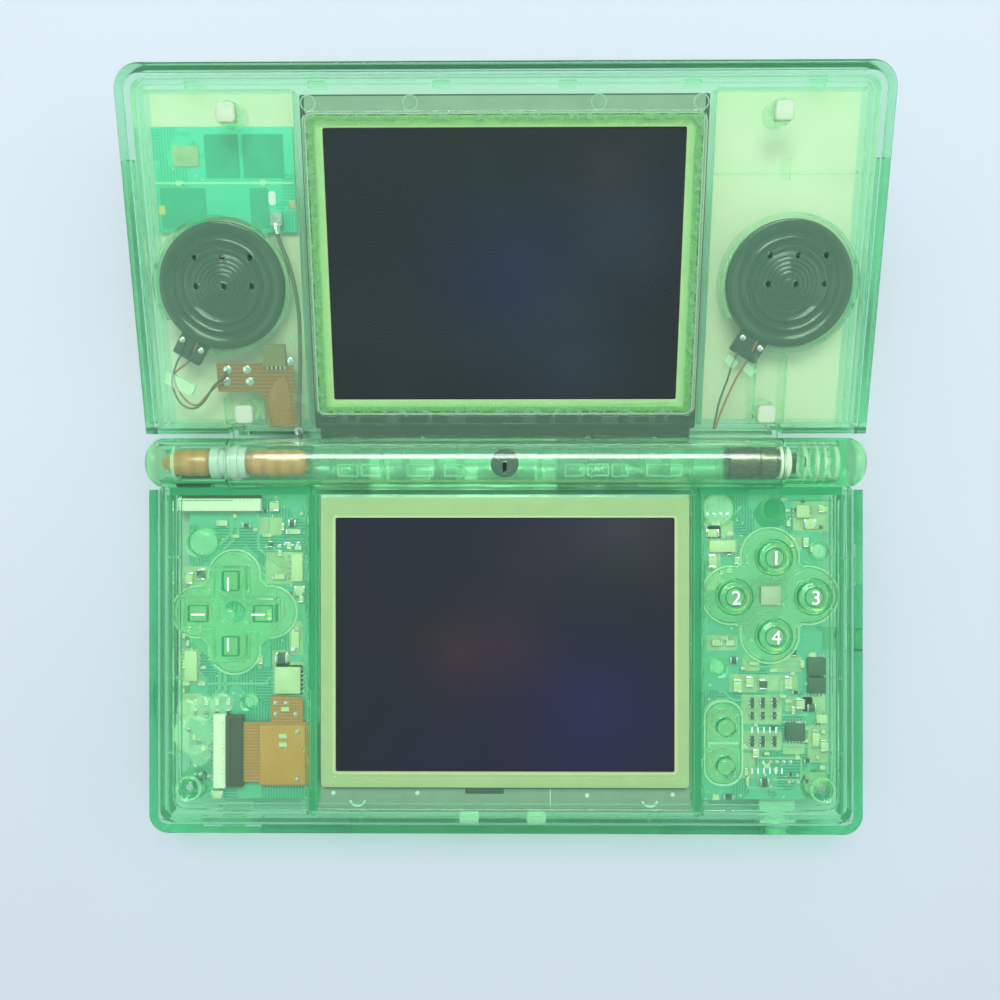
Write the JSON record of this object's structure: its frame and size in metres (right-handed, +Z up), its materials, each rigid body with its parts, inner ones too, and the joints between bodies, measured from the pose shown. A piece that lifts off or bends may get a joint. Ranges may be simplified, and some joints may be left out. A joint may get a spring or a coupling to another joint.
{
  "type": "clamshell handheld game console",
  "caption": "Folding pocket game console in clear green plastic: a screen and speakers in the lid, a touch screen, direction pad and buttons in the base, joined by a barrel hinge.",
  "frame": {"origin": "middle of the base's underside, which is the face it rests on", "axes": "+Z up from the resting face, +Y across the base to the hinge and the open lid, +X to the player's right"},
  "size_m": [0.1334, 0.1383, 0.0289],
  "materials": {
    "clear_green_case": "clear green polycarbonate, polished",
    "clear_button": "clear pale green plastic",
    "clear_silicone": "soft translucent silicone",
    "clear_lens": "clear polished window",
    "board_green": "green solder mask with soldered parts",
    "antenna_green": "turquoise solder mask",
    "screen_black": "dark glass, unlit",
    "touch_film": "touch film with a cream edge",
    "speaker_black": "dark ribbed cone in a black ring",
    "connector_cream": "cream connector plastic",
    "connector_black": "black connector plastic",
    "flex_amber": "amber polyimide ribbon",
    "steel": "plain steel",
    "battery_grey": "grey battery wrap",
    "lead_black": "black insulation",
    "pad_rubber": "pale rubber",
    "plastic_white": "white plastic"
  },
  "bodies": {
    "base": {"rear_case": "clear_green_case", "front_panel": "clear_green_case", "main_board": "board_green", "lower_screen": "screen_black", "touch_panel": "touch_film", "direction_membrane": "clear_silicone", "button_membrane": "clear_silicone", "menu_membrane": "clear_silicone", "battery": "battery_grey", "battery_cover": "clear_green_case", "battery_cover_screw": "steel", "front_left_screw": "steel", "front_right_screw": "steel", "back_left_screw": "steel", "back_right_screw": "steel", "card_reader": "steel", "cartridge_connector": "connector_black", "headphone_jack": "connector_black", "power_jack": "connector_black", "ribbon_connector": "connector_cream", "screen_connector": "connector_cream", "screen_ribbon": "flex_amber", "power_light_pipe": "clear_lens", "left_shoulder_pin": "steel", "left_shoulder_spring": "steel", "right_shoulder_pin": "steel", "right_shoulder_spring": "steel", "hinge_ribbon_roll": "flex_amber"},
    "lid": {"lid_cover": "clear_green_case", "lid_bezel": "clear_green_case", "screen_lens": "clear_lens", "upper_screen": "screen_black", "left_speaker": "speaker_black", "right_speaker": "speaker_black", "antenna_board": "antenna_green", "antenna_cable": "lead_black", "lid_ribbon": "flex_amber", "left_speaker_lead": "lead_black", "right_speaker_lead": "lead_black", "hinge_cam": "steel", "hinge_sleeve": "plastic_white", "microphone": "speaker_black", "top_left_screw_pad": "pad_rubber", "top_right_screw_pad": "pad_rubber", "low_left_screw_pad": "pad_rubber", "low_right_screw_pad": "pad_rubber"},
    "pad_pivot": {"direction_pivot": "clear_button"},
    "pad": {"direction_pad": "clear_button"},
    "button_upper": {"button_upper": "clear_button"},
    "button_left": {"button_left": "clear_button"},
    "button_right": {"button_right": "clear_button"},
    "button_lower": {"button_lower": "clear_button"},
    "start_button": {"start_button": "clear_button"},
    "select_button": {"select_button": "clear_button"},
    "left_shoulder": {"left_shoulder_button": "clear_button"},
    "right_shoulder": {"right_shoulder_button": "clear_button"},
    "power_slider": {"power_slider": "clear_button"},
    "volume_slider": {"volume_slider": "clear_button"},
    "stylus": {"stylus": "plastic_white"},
    "dust_cover": {"cartridge_dust_cover": "clear_green_case"}
  },
  "joints": [
    {"name": "lid_hinge", "type": "hinge", "parent": "base", "child": "lid", "pos_m": [0, 0.0322, 0.0124], "axis": [1, 0, 0], "range_deg": [0, 166]},
    {"name": "pad_tilt_front", "type": "hinge", "parent": "base", "child": "pad_pivot", "pos_m": [-0.0512, 0.0041, 0.0098], "axis": [1, 0, 0], "range_deg": [-2.5, 2.5], "stiffness_Nm_per_rad": 0.2},
    {"name": "pad_tilt_side", "type": "hinge", "parent": "pad_pivot", "child": "pad", "pos_m": [-0.0512, 0.0041, 0.0098], "axis": [0, 1, 0], "range_deg": [-2.5, 2.5], "stiffness_Nm_per_rad": 0.2},
    {"name": "button_upper_press", "type": "slide", "parent": "base", "child": "button_upper", "axis": [0, 0, -1], "range_m": [0, 0.0008], "stiffness_N_per_m": 800, "springref_m": -0.0004},
    {"name": "button_left_press", "type": "slide", "parent": "base", "child": "button_left", "axis": [0, 0, -1], "range_m": [0, 0.0008], "stiffness_N_per_m": 800, "springref_m": -0.0004},
    {"name": "button_right_press", "type": "slide", "parent": "base", "child": "button_right", "axis": [0, 0, -1], "range_m": [0, 0.0008], "stiffness_N_per_m": 800, "springref_m": -0.0004},
    {"name": "button_lower_press", "type": "slide", "parent": "base", "child": "button_lower", "axis": [0, 0, -1], "range_m": [0, 0.0008], "stiffness_N_per_m": 800, "springref_m": -0.0004},
    {"name": "start_press", "type": "slide", "parent": "base", "child": "start_button", "axis": [0, 0, -1], "range_m": [0, 0.0005], "stiffness_N_per_m": 900, "springref_m": -0.0004},
    {"name": "select_press", "type": "slide", "parent": "base", "child": "select_button", "axis": [0, 0, -1], "range_m": [0, 0.0005], "stiffness_N_per_m": 900, "springref_m": -0.0004},
    {"name": "left_shoulder_press", "type": "hinge", "parent": "base", "child": "left_shoulder", "pos_m": [-0.0478, 0.0332, 0.0046], "axis": [0, 0, 1], "range_deg": [0, 5], "stiffness_Nm_per_rad": 0.15, "springref_deg": -2.86},
    {"name": "right_shoulder_press", "type": "hinge", "parent": "base", "child": "right_shoulder", "pos_m": [0.0478, 0.0332, 0.0046], "axis": [0, 0, -1], "range_deg": [0, 5], "stiffness_Nm_per_rad": 0.15, "springref_deg": -2.86},
    {"name": "power_slide", "type": "slide", "parent": "base", "child": "power_slider", "axis": [0, 1, 0], "range_m": [0, 0.002], "stiffness_N_per_m": 400, "springref_m": -0.0005},
    {"name": "volume_slide", "type": "slide", "parent": "base", "child": "volume_slider", "axis": [1, 0, 0], "range_m": [-0.003, 0.003]},
    {"name": "stylus_draw", "type": "slide", "parent": "base", "child": "stylus", "axis": [1, 0, 0], "range_m": [0, 0.08]},
    {"name": "dust_cover_draw", "type": "slide", "parent": "base", "child": "dust_cover", "axis": [0, -1, 0], "range_m": [0, 0.024]}
  ]
}
